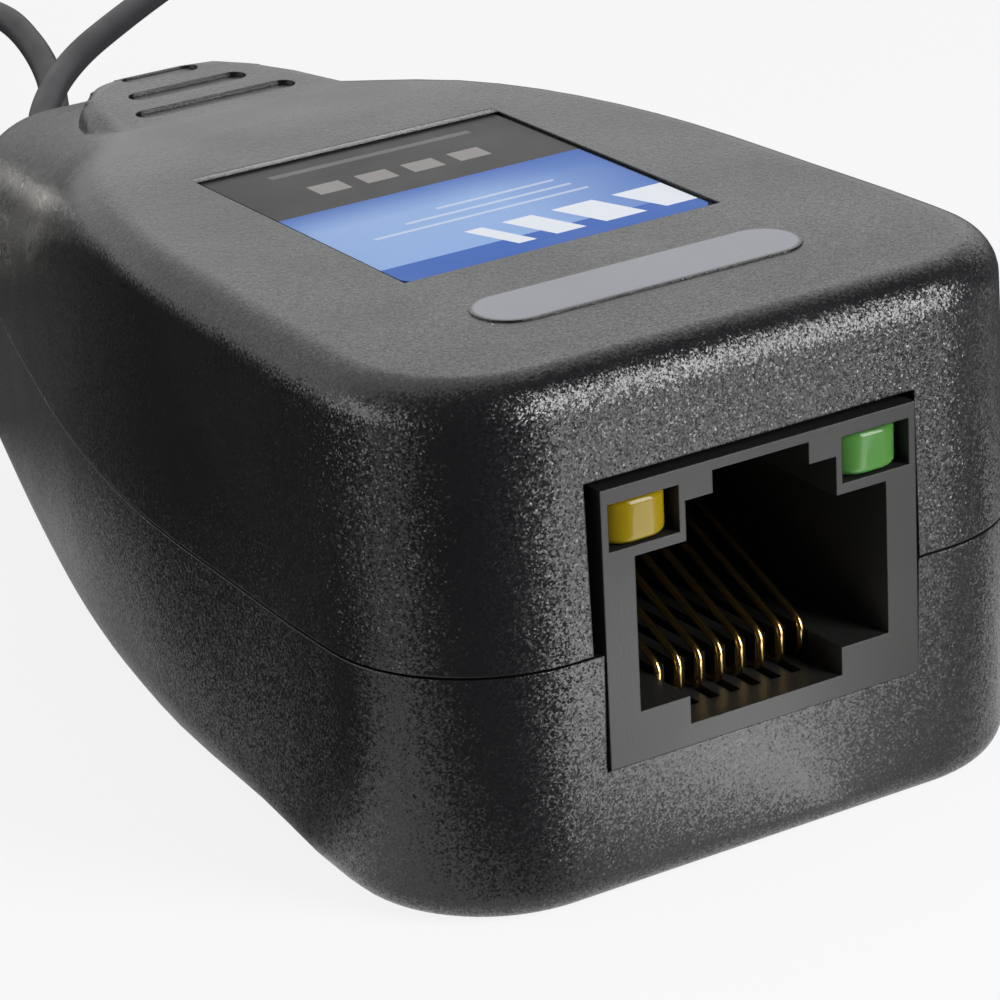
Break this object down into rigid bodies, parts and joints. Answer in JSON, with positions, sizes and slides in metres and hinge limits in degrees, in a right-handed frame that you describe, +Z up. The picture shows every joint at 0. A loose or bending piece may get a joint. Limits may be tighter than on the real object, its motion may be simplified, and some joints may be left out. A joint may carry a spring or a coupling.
{
  "type": "cctv video balun",
  "caption": "Video balun: a tapering black housing with a network socket and two lamps at the wide end, and a video lead and a power lead at the narrow end.",
  "frame": {"origin": "middle of the housing's underside, on the surface that it rests on", "axes": "+X to the right as the socket is faced, +Y from the socket to the leads, +Z up"},
  "size_m": [0.0564, 0.1489, 0.0231],
  "materials": {
    "housing_plastic": "fine spark-eroded texture",
    "socket_plastic": "smooth moulded",
    "label_film": "printed film",
    "screw_steel": "zinc plated",
    "contact_gold": "gold flashed",
    "yellow_lens": "translucent",
    "green_lens": "translucent",
    "tinned_wire": "tinned",
    "board_laminate": "solder mask",
    "seat_plastic": "moulded",
    "ferrite": "matte",
    "enamelled_wire": "enamelled",
    "component_plastic": "moulded",
    "component_ceramic": "dipped",
    "bush_rubber": "moulded",
    "lead_jacket": "extruded",
    "plug_nickel": "nickel plated",
    "plug_insulator": "turned"
  },
  "bodies": {
    "housing": {"upper_cover": "housing_plastic", "lower_cover": "housing_plastic", "top_label": "label_film", "cover_screws": "screw_steel", "jack_housing": "socket_plastic", "contact_carrier": "seat_plastic", "contact_wires": "contact_gold", "yellow_lamp": "yellow_lens", "green_lamp": "green_lens", "lamp_leads": "tinned_wire", "circuit_board": "board_laminate", "balun_base": "seat_plastic", "balun_saddle": "seat_plastic", "balun_core": "ferrite", "line_winding": "enamelled_wire", "video_winding": "enamelled_wire", "surge_suppressor": "component_plastic", "power_fuse": "component_ceramic", "ceramic_capacitors": "component_ceramic", "resistors": "component_ceramic", "cord_bush": "bush_rubber", "inner_tie": "plug_insulator", "lead_cores": "tinned_wire", "video_lead": "lead_jacket", "power_lead": "lead_jacket", "video_plug_boot": "bush_rubber", "video_plug_body": "plug_nickel", "video_plug_sleeve": "plug_nickel", "video_plug_insulator": "plug_insulator", "video_plug_pin": "contact_gold", "video_plug_gasket": "bush_rubber", "video_plug_washer": "plug_nickel", "power_plug_grip": "bush_rubber", "power_plug_barrel": "plug_nickel", "power_plug_insulator": "component_plastic", "power_plug_contact": "plug_nickel"},
    "coupling_ring": {"video_plug_ring": "plug_nickel"}
  },
  "joints": [
    {"name": "ring_turn", "type": "hinge", "parent": "housing", "child": "coupling_ring", "pos_m": [-0.005, 0.051, 0.00931], "axis": [0, -0.98, 0.1989], "continuous": true}
  ]
}
